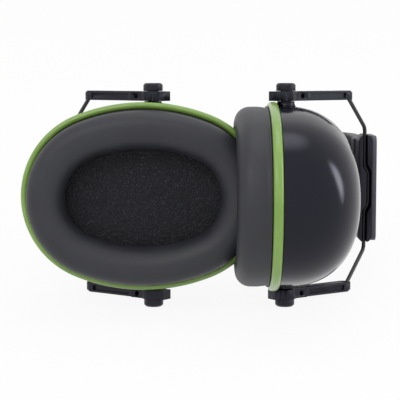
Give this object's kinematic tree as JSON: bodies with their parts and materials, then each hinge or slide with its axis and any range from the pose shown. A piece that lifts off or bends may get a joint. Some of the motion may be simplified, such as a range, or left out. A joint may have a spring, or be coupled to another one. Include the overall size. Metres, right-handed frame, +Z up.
{
  "type": "earmuff hearing protector",
  "caption": "Over-ear hearing protector with oval sealed cups on wire yokes that swing and slide on a sprung, padded headband.",
  "frame": {"origin": "middle of the footprint, on the level that the part lies on", "axes": "+Y from the cups towards the crown of the headband, +X from the turned left cup to the right cup, +Z up from the table; the part lies on its side, so its left-right middle plane stands near X and its pivot axes lean 10 degrees from +Z towards +Y"},
  "size_m": [0.1598, 0.2092, 0.0981],
  "materials": {
    "band_plastic": "fine satin black",
    "pad_cover": "soft black leatherette over foam",
    "slider_plastic": "satin black",
    "rivet_steel": "plain",
    "wire_steel": "black coated spring steel",
    "arm_plastic": "satin black glass-filled plastic",
    "dome_gloss": "polished black",
    "ring_green": "satin green",
    "plate_plastic": "plain black",
    "cushion_skin": "smooth matte black skin",
    "cushion_foam": "open foam",
    "liner_foam": "black open-cell foam",
    "cap_plastic": "satin black"
  },
  "bodies": {
    "crown": {"headband_crown": "band_plastic", "crown_pad": "pad_cover"},
    "left_band": {"left_headband": "band_plastic", "left_band_pad": "pad_cover", "left_guide_clip": "slider_plastic", "left_stop_rivet": "rivet_steel"},
    "left_yoke": {"left_slider_housing": "slider_plastic", "left_slider_cover": "slider_plastic", "left_yoke_wire": "wire_steel", "left_upper_arm": "arm_plastic", "left_lower_arm": "arm_plastic"},
    "left_cup": {"left_cup_shell": "dome_gloss", "left_trim_ring": "ring_green", "left_seal_plate": "plate_plastic", "left_cushion_cover": "cushion_skin", "left_cushion_foam": "cushion_foam", "left_liner_foam": "liner_foam", "left_upper_cap": "cap_plastic", "left_lower_cap": "cap_plastic"},
    "right_band": {"right_headband": "band_plastic", "right_band_pad": "pad_cover", "right_guide_clip": "slider_plastic", "right_stop_rivet": "rivet_steel"},
    "right_yoke": {"right_slider_housing": "slider_plastic", "right_slider_cover": "slider_plastic", "right_yoke_wire": "wire_steel", "right_upper_arm": "arm_plastic", "right_lower_arm": "arm_plastic"},
    "right_cup": {"right_cup_shell": "dome_gloss", "right_trim_ring": "ring_green", "right_seal_plate": "plate_plastic", "right_cushion_cover": "cushion_skin", "right_cushion_foam": "cushion_foam", "right_liner_foam": "liner_foam", "right_upper_cap": "cap_plastic", "right_lower_cap": "cap_plastic"}
  },
  "joints": [
    {"name": "left_band_flex", "type": "hinge", "parent": "crown", "child": "left_band", "pos_m": [-0.0054, 0.1012, 0.02243], "axis": [0, -0.1762, -0.9844], "range_deg": [0, 24], "stiffness_Nm_per_rad": 2.7},
    {"name": "right_band_flex", "type": "hinge", "parent": "crown", "child": "right_band", "pos_m": [0.0186, 0.1012, 0.02243], "axis": [0, 0.1762, 0.9844], "range_deg": [0, 24], "stiffness_Nm_per_rad": 2.7},
    {"name": "left_height", "type": "slide", "parent": "left_band", "child": "left_yoke", "axis": [0, -0.9844, 0.1762], "range_m": [0, 0.025]},
    {"name": "right_height", "type": "slide", "parent": "right_band", "child": "right_yoke", "axis": [0, -0.9844, 0.1762], "range_m": [0, 0.025]},
    {"name": "left_cup_swing", "type": "hinge", "parent": "left_yoke", "child": "left_cup", "pos_m": [-0.0224, -0.04744, 0.04904], "axis": [0, 0.1762, 0.9844], "range_deg": [0, 102], "deforming": ["left_cushion_cover", "left_cushion_foam"]},
    {"name": "right_cup_swing", "type": "hinge", "parent": "right_yoke", "child": "right_cup", "pos_m": [0.0356, -0.04744, 0.04904], "axis": [0, 0.1762, 0.9844], "range_deg": [-12, 12], "deforming": ["right_cushion_cover", "right_cushion_foam"]}
  ],
  "couplings": [
    {"joint": "right_band_flex", "follows": "left_band_flex", "ratio": 1}
  ]
}
